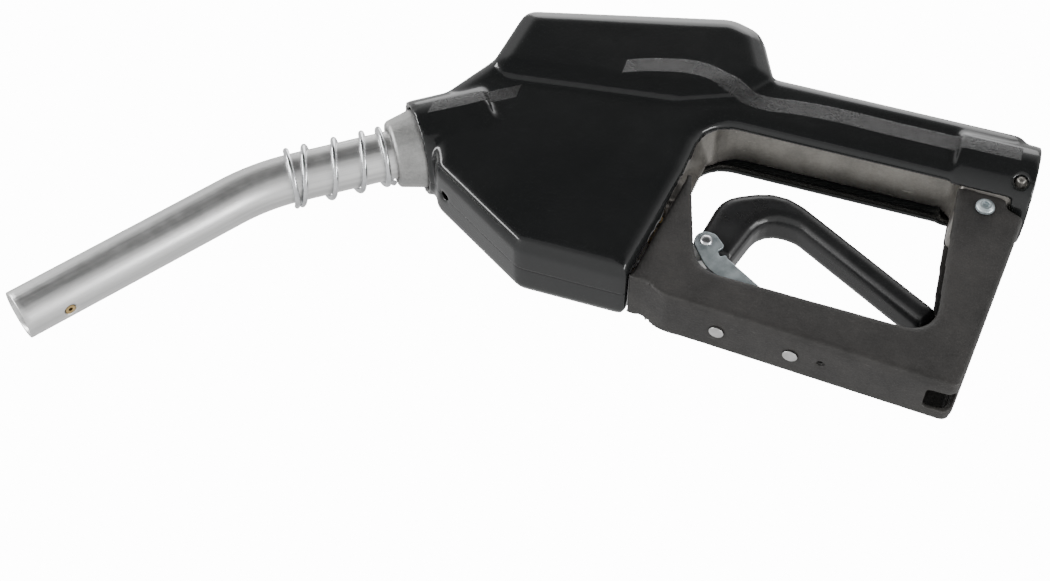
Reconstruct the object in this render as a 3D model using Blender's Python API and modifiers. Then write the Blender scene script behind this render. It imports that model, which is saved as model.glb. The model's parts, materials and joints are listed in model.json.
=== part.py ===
"""Automatic shut-off fuel nozzle, in metres.

The origin is the centre of the hose inlet's mouth. +X points out of the inlet along the handle,
+Z is up (the handle is level and the lever hangs below it), and y = 0 is the plane of symmetry.
"""

from math import ceil, cos, pi, radians, sin, tan

import bmesh
import bpy
from mathutils import Matrix, Vector

MM = 0.001
GAP = 0.3 * MM  # between two pieces that touch on the real nozzle
SKIN = 2.6 * MM  # wall of the vinyl insulator
THROUGH = 60 * MM  # half length of a cutter that goes right through

# Handle and hose inlet
INLET_R = 20.7 * MM
INLET_BORE_R = 12.2 * MM
INLET_BORE_DEPTH = 26 * MM
INLET_LENGTH = 33 * MM
HANDLE_PASSAGE_Z = 5 * MM
HANDLE_PASSAGE_R = 8.5 * MM

# Body
CHEEK_HALF_WIDTH = 17.5 * MM
HUMP_HALF_WIDTH = 21.5 * MM
LIP_HALF_WIDTH = 12.8 * MM  # of the insulator's opening, round the hand opening

# Spout: its axis leaves the nose collar at NOSE, and NOSE_TILT below the handle's axis
NOSE = Vector((-251.5 * MM, 0, -54.5 * MM))
NOSE_TILT = radians(35.5)
NOSE_R = 20.5 * MM
SPOUT_R = 10.3 * MM
SPOUT_WALL = 1.6 * MM
SPOUT_STRAIGHT = 53 * MM
SPOUT_BEND = radians(19)
SPOUT_BEND_R = 88 * MM
SPOUT_TIP_STRAIGHT = 97 * MM
SPOUT_INSERTED = 7 * MM
PORT_FROM_TIP = 18 * MM
BUSHING_LENGTH = 11 * MM

# Vertical axes of the two mechanisms
PLUNGER_X = -187 * MM
VALVE_X = -149 * MM
SEAT_Z = -18 * MM
DIAPHRAGM_Z = 11.3 * MM
CAP_R = 18.4 * MM

# Lever and guard
PIVOT = Vector((PLUNGER_X, 0, -86 * MM))
GRIP_HALF_WIDTH = 8 * MM
CORE_HALF_WIDTH = 3 * MM
GUARD_HALF_WIDTH = 12.5 * MM
GUARD_WALL = 2.5 * MM
CHANNEL_HALF_WIDTH = GUARD_HALF_WIDTH - GUARD_WALL
GUARD_FRONT_BOTTOM_Z = -104.5 * MM
GUARD_SLOPE = 0.0667
LATCH_PIVOT = Vector((-121 * MM, 0, -72 * MM))
GUARD_SCREW = Vector((-17.5 * MM, 0, -23 * MM))
RIVET_X = (-107 * MM, -77 * MM)

PARTS = "fuel_nozzle"
CUTTERS = "cutters"


# ---------------------------------------------------------------- scene and materials


def clear_scene():
    for obj in list(bpy.data.objects):
        bpy.data.objects.remove(obj, do_unlink=True)
    for name in (PARTS, CUTTERS):
        collection = bpy.data.collections.new(name)
        bpy.context.scene.collection.children.link(collection)
    bpy.data.collections[CUTTERS].hide_render = True


def paint(obj, colour, roughness, metallic=0.0):
    material = bpy.data.materials.new(obj.name)
    material.use_nodes = True
    shader = material.node_tree.nodes["Principled BSDF"]
    shader.inputs["Base Color"].default_value = (*colour, 1)
    shader.inputs["Roughness"].default_value = roughness
    shader.inputs["Metallic"].default_value = metallic
    obj.data.materials.clear()
    obj.data.materials.append(material)
    return obj


VINYL = ((0.012, 0.013, 0.014), 0.18)
GUARD_PLASTIC = ((0.055, 0.053, 0.052), 0.6)
LEVER_PLASTIC = ((0.018, 0.019, 0.021), 0.42)
RUBBER = ((0.02, 0.02, 0.02), 0.75)
CAST = ((0.42, 0.40, 0.37), 0.5, 1.0)
ALUMINIUM = ((0.74, 0.74, 0.72), 0.36, 1.0)
STEEL = ((0.62, 0.63, 0.64), 0.28, 1.0)
ZINC = ((0.60, 0.66, 0.70), 0.34, 1.0)
BRASS = ((0.72, 0.52, 0.25), 0.32, 1.0)


# ---------------------------------------------------------------- shapes

LOFTED = ("body_casting", "hand_insulator", "insulator_cavity", "lever_grip", "spout_tube")  # EXACT fails here


def link(obj, collection=PARTS):
    bpy.data.collections[collection].objects.link(obj)
    return obj


def new_mesh(name, mesh):
    return link(bpy.data.objects.new(name, mesh))


def as_mesh(obj):
    """The curve or the modified object as a plain mesh with its caps welded."""
    bpy.context.view_layer.update()
    evaluated = obj.evaluated_get(bpy.context.evaluated_depsgraph_get())
    mesh = bpy.data.meshes.new_from_object(evaluated)
    welder = bmesh.new()
    welder.from_mesh(mesh)
    bmesh.ops.remove_doubles(welder, verts=welder.verts, dist=1e-6)
    bmesh.ops.recalc_face_normals(welder, faces=welder.faces)
    welder.to_mesh(mesh)
    welder.free()
    name, place = obj.name, obj.matrix_world.copy()
    bpy.data.objects.remove(obj, do_unlink=True)
    made = new_mesh(name, mesh)
    made.matrix_world = place
    return smooth(made)


def smooth(obj):
    obj.data.shade_smooth()
    obj.data.set_sharp_from_angle(angle=radians(35))
    return obj


def hide(cutter):
    for collection in list(cutter.users_collection):
        collection.objects.unlink(cutter)
    link(cutter, CUTTERS)
    cutter.hide_render = True
    cutter.display_type = "WIRE"


def combine(target, others, operation):
    for other in others:
        modifier = target.modifiers.new(f"{operation}_{other.name}", "BOOLEAN")
        modifier.operation = operation
        modifier.solver = "MANIFOLD" if target.name in LOFTED else "EXACT"
        modifier.object = other
        hide(other)
    return target


def cut(target, *others):
    return combine(target, others, "DIFFERENCE")


def join(target, *others):
    return combine(target, others, "UNION")


def fillet(before, corner, after, radius):
    """The points of an arc of this radius that rounds a corner of an outline."""
    if radius <= 0:
        return [corner]
    back, ahead = (before - corner).normalized(), (after - corner).normalized()
    half = back.angle(ahead) / 2
    reach = radius / tan(half)
    centre = corner + (back + ahead).normalized() * (radius / sin(half))
    start, end = corner + back * reach - centre, corner + ahead * reach - centre
    turn = start.angle_signed(end)
    steps = max(2, ceil(abs(turn) / radians(22)))
    rotated = (Matrix.Rotation(-turn * i / steps, 2) @ start for i in range(steps + 1))
    return [centre + point for point in rotated]


def rounded(corners, closed=True):
    """Points of an outline in the XZ plane, from corners (x, z, radius) in millimetres."""
    points = [Vector((x, z)) * MM for x, z, _ in corners]
    outline = []
    count = len(points)
    for i, (_, _, radius) in enumerate(corners):
        if not closed and i in (0, count - 1):
            outline.append(points[i])
            continue
        before, after = points[i - 1], points[(i + 1) % count]
        outline += fillet(before, points[i], after, radius * MM)
    return outline


def inset(corners, distance):
    """The corners of an anticlockwise outline moved inwards by a distance in metres."""
    step = distance / MM
    count = len(corners)
    moved = []
    for i, (x, z, radius) in enumerate(corners):
        here = Vector((x, z))
        into = (here - Vector(corners[i - 1][:2])).normalized()
        out = (Vector(corners[(i + 1) % count][:2]) - here).normalized()
        left_in, left_out = Vector((-into.y, into.x)), Vector((-out.y, out.x))
        shift = (left_in + left_out) * (step / (1 + left_in.dot(left_out)))
        convex = into.x * out.y - into.y * out.x > 0
        change = -step if convex else step
        moved.append((x + shift.x, z + shift.y, max(0.2, radius + change) if radius else 0.0))
    return moved


def strip(centres, half_height):
    """The outline of a bar that follows rounded centre points (x, z, radius) in millimetres."""
    line = rounded(centres, closed=False)
    left, right = [], []
    for i, point in enumerate(line):
        along = (line[min(i + 1, len(line) - 1)] - line[max(i - 1, 0)]).normalized()
        side = Vector((-along.y, along.x)) * half_height
        left.append(point + side)
        right.append(point - side)
    return right + left[::-1]


def plate(name, outline, half_width, bevel=0.0, y=0.0, bevel_steps=2):
    """An outline in the XZ plane given thickness along Y, with rounded edges."""
    data = bpy.data.curves.new(name, "CURVE")
    data.dimensions = "2D"
    data.fill_mode = "BOTH"
    data.extrude = half_width
    spline = data.splines.new("POLY")
    spline.points.add(len(outline) - 1)
    for point, place in zip(spline.points, outline):
        point.co = (place.x, place.y, 0, 1)
    spline.use_cyclic_u = True
    obj = as_mesh(link(bpy.data.objects.new(name, data)))
    turn = Matrix.Translation((0, y, 0)) @ Matrix.Rotation(pi / 2, 4, "X")
    obj.data.transform(turn)
    if bevel:
        rounding = obj.modifiers.new("rounding", "BEVEL")
        rounding.width = bevel
        rounding.segments = bevel_steps
        rounding.limit_method = "ANGLE"
        rounding.angle_limit = radians(60)
        rounding.use_clamp_overlap = False
    return obj


def pillow(name, corners, half_width, rounding, steps=2):
    """A plate whose long edges are rounded: outlines lofted from one cheek to the other."""
    sections = []
    for i in range(steps + 1):
        angle = pi / 2 * i / steps
        outline = rounded(inset(corners, rounding * (1 - sin(angle))))
        sections.append((outline, half_width - rounding * (1 - cos(angle))))
    sections += [(outline, -y) for outline, y in reversed(sections)]
    loft = bmesh.new()
    rings = [[loft.verts.new((p.x, y, p.y)) for p in outline] for outline, y in sections]
    for ahead, behind in zip(rings, rings[1:]):
        for i in range(len(ahead)):
            loft.faces.new((ahead[i - 1], ahead[i], behind[i], behind[i - 1]))
    loft.faces.new(rings[0])
    loft.faces.new(rings[-1])
    bmesh.ops.recalc_face_normals(loft, faces=loft.faces)
    mesh = bpy.data.meshes.new(name)
    loft.to_mesh(mesh)
    loft.free()
    return smooth(new_mesh(name, mesh))


def turned(name, profile, place=(0, 0, 0), direction=(0, 0, 1), steps=20):
    """A lathe shape. The profile is (radius, height) in metres, down the outer side."""
    mesh = bpy.data.meshes.new(name)
    corners = [(radius, 0, height) for radius, height in profile]
    pairs = [(i, (i + 1) % len(corners)) for i in range(len(corners))]
    edges = [(a, b) for a, b in pairs if profile[a][0] > 0 or profile[b][0] > 0]
    mesh.from_pydata(corners, edges, [])
    obj = new_mesh(name, mesh)
    screw = obj.modifiers.new("turning", "SCREW")
    screw.steps = steps
    screw.render_steps = steps
    screw.use_merge_vertices = True
    screw.merge_threshold = 1e-6
    screw.use_smooth_shade = False
    up = Vector(direction).normalized()
    spin = up.to_track_quat("Z", "Y").to_matrix().to_4x4()
    obj = as_mesh(obj)
    obj.matrix_world = Matrix.Translation(place) @ spin
    return obj


def rod(name, radius, low, high, **where):
    return turned(name, [(0, high), (radius, high), (radius, low), (0, low)], **where)


def ring(name, outer, inner, low, high, **where):
    return turned(name, [(outer, high), (outer, low), (inner, low), (inner, high)], **where)


def block(name, low, high):
    bpy.ops.mesh.primitive_cube_add(size=1)
    obj = bpy.context.active_object
    for collection in list(obj.users_collection):
        collection.objects.unlink(obj)
    obj.name = name
    link(obj)
    low, high = Vector(low), Vector(high)
    size = Matrix.Diagonal((*(high - low), 1))
    obj.data.transform(Matrix.Translation((low + high) / 2) @ size)
    return obj


def wire(name, points, radius, resolution=2):
    """A round wire or pipe along a row of points."""
    data = bpy.data.curves.new(name, "CURVE")
    data.dimensions = "3D"
    data.bevel_depth = radius
    data.bevel_resolution = resolution
    data.use_fill_caps = True
    spline = data.splines.new("POLY")
    spline.points.add(len(points) - 1)
    for point, place in zip(spline.points, points):
        point.co = (*place, 1)
    return as_mesh(link(bpy.data.objects.new(name, data)))


def coil_heights(turns, closed_turns, wire_r, length, per_turn):
    """Height along a compression spring at each point: close-wound ends, open middle."""
    close = 2.15 * wire_r
    open_turns = turns - 2 * closed_turns
    pitch = (length - 2 * closed_turns * close) / open_turns
    heights = [0.0]
    for i in range(int(turns * per_turn)):
        turn = (i + 0.5) / per_turn
        ends = turn < closed_turns or turn > turns - closed_turns
        heights.append(heights[-1] + (close if ends else pitch) / per_turn)
    return heights


def spring(name, centre_x, radius, wire_r, low, high, turns, per_turn=8):
    """A compression spring that stands on a vertical axis."""
    heights = coil_heights(turns, 0.75, wire_r, high - low - 2 * wire_r, per_turn)
    points = []
    for i, height in enumerate(heights):
        angle = 2 * pi * i / per_turn
        side = Vector((radius * cos(angle), radius * sin(angle), low + wire_r + height))
        points.append(side + Vector((centre_x, 0, 0)))
    return wire(name, points, wire_r)


# ---------------------------------------------------------------- outlines (x, z, radius) in mm

SHELL = [
    (-191, -101.5, 6),
    (-146, -101.5, 1.5),
    (-137, -43, 0),
    (-134.5, -15, 13),
    (-29, -15, 4),
    (-29, 0, 0),
    (-5, 0, 0),
    (-5, 19, 6),
    (-118, 19, 20),
    (-231, -4, 8),
    (-252, -42, 6),
    (-236, -73, 4),
]
HUMP = [
    (-225, -22, 10),
    (-150, -12, 10),
    (-122, 0, 10),
    (-112, 14, 4),
    (-117.5, 26, 10),
    (-124, 41, 12),
    (-139, 46, 14),
    (-229, 22.5, 9),
    (-233.5, -14, 6),
]
OPENING = [
    (-128, -120, 0),
    (-10, -120, 0),
    (-10, -14, 0),
    (-28, -14, 0),
    (-31, -6, 3),
    (-132.5, -6, 14),
    (-132.5, -58, 0),
]
GUARD_OUTER = [
    (-145.4, -100.9, 1),
    (-139.6, -100.9, 3),
    (-128.5, -105.55, 3),
    (-12.5, -113.3, 5),
    (-1.4, -22.4, 2.5),
    (-8.9, -19.2, 1.2),
    (-8.4, -14.5, 3),
    (-30, -14.5, 3),
    (-26, -90.5, 12),
    (-121.5, -88, 14),
    (-126.5, -71, 25),
    (-136.0, -38, 1),
]


def spout_place(distance):
    """A point of the spout's axis and its direction, at a distance out of the nose collar."""
    arc = SPOUT_BEND_R * SPOUT_BEND
    bent = min(max(distance - SPOUT_STRAIGHT, 0), arc) / SPOUT_BEND_R
    straight = min(distance, SPOUT_STRAIGHT)
    start = Vector((-cos(NOSE_TILT), 0, -sin(NOSE_TILT)))
    down = Vector((sin(NOSE_TILT), 0, -cos(NOSE_TILT)))
    heading = start * cos(bent) + down * sin(bent)
    place = NOSE + start * (straight + SPOUT_BEND_R * sin(bent))
    place += down * SPOUT_BEND_R * (1 - cos(bent))
    place += heading * max(distance - SPOUT_STRAIGHT - arc, 0)
    return place, heading


def along_spout(low, high, spacing, drop=0.0):
    """Points beside the spout's axis, dropped towards its underside."""
    points = []
    count = max(2, ceil((high - low) / spacing))
    for i in range(count + 1):
        place, heading = spout_place(low + (high - low) * i / count)
        points.append(place + heading.cross(Vector((0, 1, 0))) * drop)
    return points


OUTWARD = -Vector((cos(NOSE_TILT), 0, sin(NOSE_TILT)))
UNDERSIDE = Vector((sin(NOSE_TILT), 0, -cos(NOSE_TILT)))
SPOUT_LENGTH = SPOUT_STRAIGHT + SPOUT_BEND_R * SPOUT_BEND + SPOUT_TIP_STRAIGHT


def on_nose(**more):
    return dict(place=NOSE, direction=OUTWARD, **more)


def at(x):
    return dict(place=(x, 0, 0))


def across(place, side=-1):
    """Where a lathe shape goes that lies along Y through a point."""
    return dict(place=place, direction=(0, side, 0))


# ---------------------------------------------------------------- body


def envelope(name, depth, with_hump):
    """The outer form of body and handle, a depth inside the insulator's surface."""
    width = CHEEK_HALF_WIDTH - depth
    body = pillow(name, inset(SHELL, depth), width, 6 * MM - depth / 2)
    inlet = rod(name + "_inlet", INLET_R - depth, -INLET_LENGTH, 0, direction=(1, 0, 0), steps=32)
    collar = rod(name + "_collar", NOSE_R - depth, -32 * MM, -depth, **on_nose(steps=28))
    join(body, inlet, collar)
    if with_hump:
        hump_width = HUMP_HALF_WIDTH - depth
        join(body, pillow(name + "_hump", inset(HUMP, depth), hump_width, 9 * MM - depth))
    return body


def body_casting():
    body = envelope("body_casting", SKIN + GAP, with_hump=False)
    web = plate(
        "web",
        rounded([(-152, -58, 0), (-132.5, -58, 3), (-132.5, -8, 0), (-152, -8, 0)]),
        CHANNEL_HALF_WIDTH - GAP,
    )
    lug = plate(
        "lug",
        rounded([(-29, -8, 0), (-29, -31, 4), (-9.5, -31, 4), (-9.5, -8, 0)]),
        CHANNEL_HALF_WIDTH - GAP,
    )
    flange = rod("flange", CAP_R, -3 * MM, DIAPHRAGM_Z - GAP, **at(PLUNGER_X))
    tower = rod("tower", 15.5 * MM, -2 * MM, 26 * MM, **at(VALVE_X))
    rim = rod("rim", INLET_R - SKIN - GAP, -3 * MM, 0, direction=(1, 0, 0), steps=32)
    pip = rod("pip", 2.1 * MM, 13 * MM, 19.4 * MM, **across((-6 * MM, 0, -9.2 * MM)), steps=12)
    cut(body, plate("hand_opening", rounded(OPENING), THROUGH))
    join(body, web, lug, flange, tower, rim, pip)
    cut(
        body,
        block("above_flange", (-240 * MM, -THROUGH, DIAPHRAGM_Z - GAP), (-165 * MM, THROUGH, THROUGH)),
        block("above_rear", (-165 * MM, -THROUGH, 26 * MM), (-100 * MM, THROUGH, THROUGH)),
        rod("inlet_bore", INLET_BORE_R, -INLET_BORE_DEPTH, MM, direction=(1, 0, 0)),
        rod(
            "handle_passage",
            HANDLE_PASSAGE_R,
            VALVE_X,
            -INLET_BORE_DEPTH + MM,
            place=(0, 0, HANDLE_PASSAGE_Z),
            direction=(1, 0, 0),
        ),
        valve_chamber_cutter(),
        rod(
            "outlet_passage",
            8.5 * MM,
            -VALVE_X,
            215 * MM,
            place=(0, 0, -31 * MM),
            direction=(-1, 0, 0),
        ),
        plunger_bore_cutter(),
        rod("nose_bore", 13.8 * MM, -32 * MM, 2 * MM, **on_nose()),
        rod("nose_screw_hole", 4.1 * MM, 10 * MM, 24 * MM, **nose_screw_place()),
        plate("lever_slot", rounded(LEVER_SLOT), CHANNEL_HALF_WIDTH - GAP),
        rod("guard_screw_hole", 2.3 * MM, -THROUGH, THROUGH, **across(GUARD_SCREW)),
        rod("packing_nut_recess", 7.8 * MM, -70 * MM, -58.2 * MM, **at(VALVE_X)),
        *[cap_screw_hole(i) for i in range(4)],
    )
    return paint(body, *CAST)


LEVER_SLOT = [
    (-205, -104, 0),
    (-120, -104, 0),
    (-120, -53.5, 0),
    (-167, -60, 0),
    (-176, -71.5, 0),
    (-205, -72, 0),
]


def valve_chamber_cutter():
    """The main valve's bore, seat, lower chamber, stem hole and packing hole in one."""
    top, roof = 27 * MM, -62 * MM
    profile = [
        (0, top),
        (12.5 * MM, top),
        (12.5 * MM, SEAT_Z),
        (8 * MM, SEAT_Z),
        (8 * MM, SEAT_Z - 3 * MM),
        (11 * MM, SEAT_Z - 6 * MM),
        (11 * MM, -43 * MM),
        (2.9 * MM, -44 * MM),
        (2.9 * MM, -48 * MM),
        (6 * MM, -48 * MM),
        (6 * MM, roof),
        (0, roof),
    ]
    return turned("valve_chamber", profile, **at(VALVE_X))


def plunger_bore_cutter():
    """The recess under the diaphragm and the stepped bore for the plunger's sleeve."""
    profile = [
        (0, 12 * MM),
        (13 * MM, 12 * MM),
        (13 * MM, 7 * MM),
        (8.6 * MM, 5.3 * MM),
        (8.6 * MM, -15 * MM),
        (6.8 * MM, -15 * MM),
        (6.8 * MM, -75 * MM),
        (0, -75 * MM),
    ]
    return turned("plunger_bore", profile, **at(PLUNGER_X))


def nose_screw_place():
    return dict(place=NOSE - OUTWARD * 8 * MM, direction=UNDERSIDE)


def cap_screw_xy(index):
    angle = pi / 4 + index * pi / 2
    reach = 15.7 * MM
    return Vector((PLUNGER_X + reach * cos(angle), reach * sin(angle), 0))


def cap_screw_hole(index):
    place = cap_screw_xy(index)
    return rod(f"cap_screw_hole_{index}", 1.6 * MM, 2 * MM, THROUGH, place=place, steps=10)


def hand_insulator():
    cover = envelope("hand_insulator", 0, with_hump=True)
    cavity = envelope("insulator_cavity", SKIN, with_hump=True)
    cut(
        cover,
        cavity,
        plate("underside_window", rounded(UNDERSIDE_WINDOW), LIP_HALF_WIDTH),
        block("rear_window", (-156 * MM, -10 * MM, -96 * MM), (-130 * MM, 10 * MM, -30 * MM)),
        plate("guard_pocket", rounded(GUARD_POCKET), GUARD_HALF_WIDTH + GAP),
        rod("inlet_mouth", INLET_R - SKIN, -5 * MM, 5 * MM, direction=(1, 0, 0), steps=32),
        rod("nose_mouth", NOSE_R - SKIN, -5 * MM, 5 * MM, **on_nose(steps=28)),
        rod("nose_slot", 4.2 * MM, 14 * MM, 30 * MM, **nose_screw_place()),
        rod("pip_hole", 2.5 * MM, 10 * MM, 30 * MM, **across((-6 * MM, 0, -9.2 * MM)), steps=14),
    )
    return paint(cover, *VINYL)


GUARD_POCKET = [
    (-30.4, -40, 0),
    (-4.6, -40, 0),
    (-4.6, -18.7, 0),
    (-8, -18.7, 0),
    (-8, -11.8, 3),
    (-30.4, -11.8, 0),
]
UNDERSIDE_WINDOW = [
    (-136, -128, 0),
    (-30.4, -128, 0),
    (-30.4, 2, 3),
    (-140.5, 2, 22),
    (-140.5, -62, 0),
]


def inlet_strainer():
    rim, depth, wall = 11.6 * MM, -24 * MM, 0.9 * MM
    profile = [
        (rim, -8 * MM),
        (rim, -10 * MM),
        (8.6 * MM, -10 * MM),
        (6.2 * MM, depth),
        (0, depth),
        (0, depth + wall),
        (6.2 * MM - wall, depth + wall),
        (8.6 * MM - wall, -10 * MM),
        (8.6 * MM - wall, -8 * MM),
    ]
    cup = turned("inlet_strainer", profile, direction=(1, 0, 0), steps=18)
    return paint(cup, *BRASS)


# ---------------------------------------------------------------- main valve


def main_valve():
    top = SEAT_Z + 5 * MM
    profile = [
        (0, top + 3 * MM),
        (3 * MM, top + 3 * MM),
        (3 * MM, top),
        (10.6 * MM, top),
        (10.6 * MM, top - 2.6 * MM),
        (4 * MM, top - 2.6 * MM),
        (4 * MM, SEAT_Z - 1 * MM),
        (2.5 * MM, SEAT_Z - 2.5 * MM),
        (2.5 * MM, -73.2 * MM),
        (1.2 * MM, -74.7 * MM),
        (0, -74.7 * MM),
    ]
    paint(turned("main_valve_poppet", profile, **at(VALVE_X), steps=20), *BRASS)
    disc = ring("main_valve_disc", 10.2 * MM, 4.3 * MM, SEAT_Z + GAP, top - 2.9 * MM, **at(VALVE_X))
    paint(disc, *RUBBER)
    coil = spring("main_valve_spring", VALVE_X, 7 * MM, 0.8 * MM, top + 0.3 * MM, 15.7 * MM, 5.5)
    paint(coil, *STEEL)
    paint(
        ring("cap_seal", 12.2 * MM, 10.6 * MM, 19.2 * MM, 20.8 * MM, **at(VALVE_X)),
        *RUBBER,
    )
    profile = [
        (0, 32 * MM),
        (12.8 * MM, 32 * MM),
        (14.6 * MM, 30 * MM),
        (14.6 * MM, 26.3 * MM),
        (12.2 * MM, 26.3 * MM),
        (12.2 * MM, 21.1 * MM),
        (10.3 * MM, 21.1 * MM),
        (10.3 * MM, 18.9 * MM),
        (12.2 * MM, 18.9 * MM),
        (12.2 * MM, 16 * MM),
        (0, 16 * MM),
    ]
    cap = turned("body_cap", profile, **at(VALVE_X))
    hexagon = rod("wrench_socket", 6 * MM, 28 * MM, 34 * MM, **at(VALVE_X), steps=6)
    paint(cut(cap, hexagon), *ALUMINIUM)
    packing = ring("stem_packing", 5.7 * MM, 2.8 * MM, -54.6 * MM, -48.3 * MM, **at(VALVE_X), steps=16)
    paint(packing, *RUBBER)
    nut = ring("packing_nut", 5.7 * MM, 3 * MM, -59 * MM, -54.9 * MM, **at(VALVE_X), steps=16)
    head = ring("nut_head", 7.2 * MM, 3.2 * MM, -60.4 * MM, -58.6 * MM, **at(VALVE_X), steps=6)
    paint(join(nut, head), *BRASS)


# ---------------------------------------------------------------- automatic shut-off


def shut_off():
    z = DIAPHRAGM_Z
    paint(ring("diaphragm", CAP_R, 2.3 * MM, z, z + 1.2 * MM, **at(PLUNGER_X)), *RUBBER)
    cut_screws("diaphragm")
    plate_z = z + 1.5 * MM
    profile = [
        (0, plate_z + 4 * MM),
        (2.6 * MM, plate_z + 4 * MM),
        (2.6 * MM, plate_z + 1.4 * MM),
        (9 * MM, plate_z + 1.4 * MM),
        (9 * MM, plate_z),
        (1.9 * MM, plate_z),
        (1.9 * MM, -10.5 * MM),
        (1 * MM, -12 * MM),
        (0, -12 * MM),
    ]
    paint(turned("latch_pin", profile, **at(PLUNGER_X), steps=16), *STEEL)
    low = plate_z + 1.7 * MM
    paint(spring("diaphragm_spring", PLUNGER_X, 5.4 * MM, 0.45 * MM, low, 24.4 * MM, 4), *STEEL)
    base = z + 1.5 * MM
    profile = [
        (0, 28.2 * MM),
        (9 * MM, 28.2 * MM),
        (11 * MM, 26.4 * MM),
        (11.6 * MM, 19 * MM),
        (12 * MM, 17.4 * MM),
        (CAP_R, 17.3 * MM),
        (CAP_R, base),
        (10.6 * MM, base),
        (9.6 * MM, 24.7 * MM),
        (0, 24.7 * MM),
    ]
    paint(turned("diaphragm_cap", profile, **at(PLUNGER_X)), *ALUMINIUM)
    cut_screws("diaphragm_cap")
    for index in range(4):
        profile = [
            (0, 19.6 * MM),
            (1.6 * MM, 19.6 * MM),
            (2.5 * MM, 18.7 * MM),
            (2.5 * MM, 17.9 * MM),
            (1.3 * MM, 17.7 * MM),
            (1.3 * MM, 3 * MM),
            (0, 3 * MM),
        ]
        name = f"diaphragm_cap_screw_{index + 1}"
        paint(turned(name, profile, place=cap_screw_xy(index), steps=10), *STEEL)
    plunger()


def cut_screws(name):
    holes = []
    for index in range(4):
        hole = rod(
            f"{name}_hole_{index}", 1.6 * MM, 0, 40 * MM, place=cap_screw_xy(index), steps=10
        )
        holes.append(hole)
    return cut(bpy.data.objects[name], *holes)


BALL_Z = -3 * MM
BALL_R = 2 * MM
BALL_REACH = 4.3 * MM


def plunger():
    profile = [
        (2.25 * MM, 3 * MM),
        (4.6 * MM, 3 * MM),
        (4.6 * MM, -44 * MM),
        (3 * MM, -44.6 * MM),
        (3 * MM, -80 * MM),
        (0, -80 * MM),
        (0, -14 * MM),
        (2.25 * MM, -13 * MM),
    ]
    rod_part = turned("plunger", profile, **at(PLUNGER_X), steps=18)
    fork = block(
        "fork",
        PIVOT + Vector((-6, -6.5, -6)) * MM,
        PIVOT + Vector((6, 6.5, 12.2)) * MM,
    )
    slot = block(
        "fork_slot",
        PIVOT + Vector((-9, -3.4, -9)) * MM,
        PIVOT + Vector((9, 3.4, 9.8)) * MM,
    )
    join(rod_part, fork)
    cut(rod_part, slot, rod("pin_hole", 2.25 * MM, -9 * MM, 9 * MM, **across(PIVOT), steps=14))
    for index in range(3):
        angle = pi / 2 + index * 2 * pi / 3
        toward = Vector((cos(angle), sin(angle), 0))
        centre = Vector((PLUNGER_X, 0, BALL_Z))
        hole = rod(
            f"ball_hole_{index}", 2.25 * MM, 1.5 * MM, 8 * MM, place=centre, direction=toward, steps=10
        )
        cut(rod_part, hole)
        ball(f"latch_ball_{index + 1}", centre + toward * BALL_REACH)
    paint(rod_part, *STEEL)
    profile = [
        (8.3 * MM, 5 * MM),
        (8.3 * MM, -14.7 * MM),
        (6.5 * MM, -14.7 * MM),
        (6.5 * MM, -71 * MM),
        (3.4 * MM, -71 * MM),
        (3.4 * MM, -67 * MM),
        (5 * MM, -67 * MM),
        (5 * MM, -11 * MM),
        (6.8 * MM, -10.5 * MM),
        (6.8 * MM, -0.4 * MM),
        (5 * MM, 0.2 * MM),
        (5 * MM, 5 * MM),
    ]
    paint(turned("plunger_sleeve", profile, **at(PLUNGER_X), steps=18), *BRASS)
    coil = spring("plunger_spring", PLUNGER_X, 4 * MM, 0.5 * MM, -66.6 * MM, -45 * MM, 5)
    paint(coil, *STEEL)


def ball(name, centre):
    bpy.ops.mesh.primitive_uv_sphere_add(segments=10, ring_count=6, radius=BALL_R, location=centre)
    obj = bpy.context.active_object
    for collection in list(obj.users_collection):
        collection.objects.unlink(obj)
    obj.name = name
    link(obj)
    return paint(smooth(obj), *STEEL)


# ---------------------------------------------------------------- spout


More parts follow.
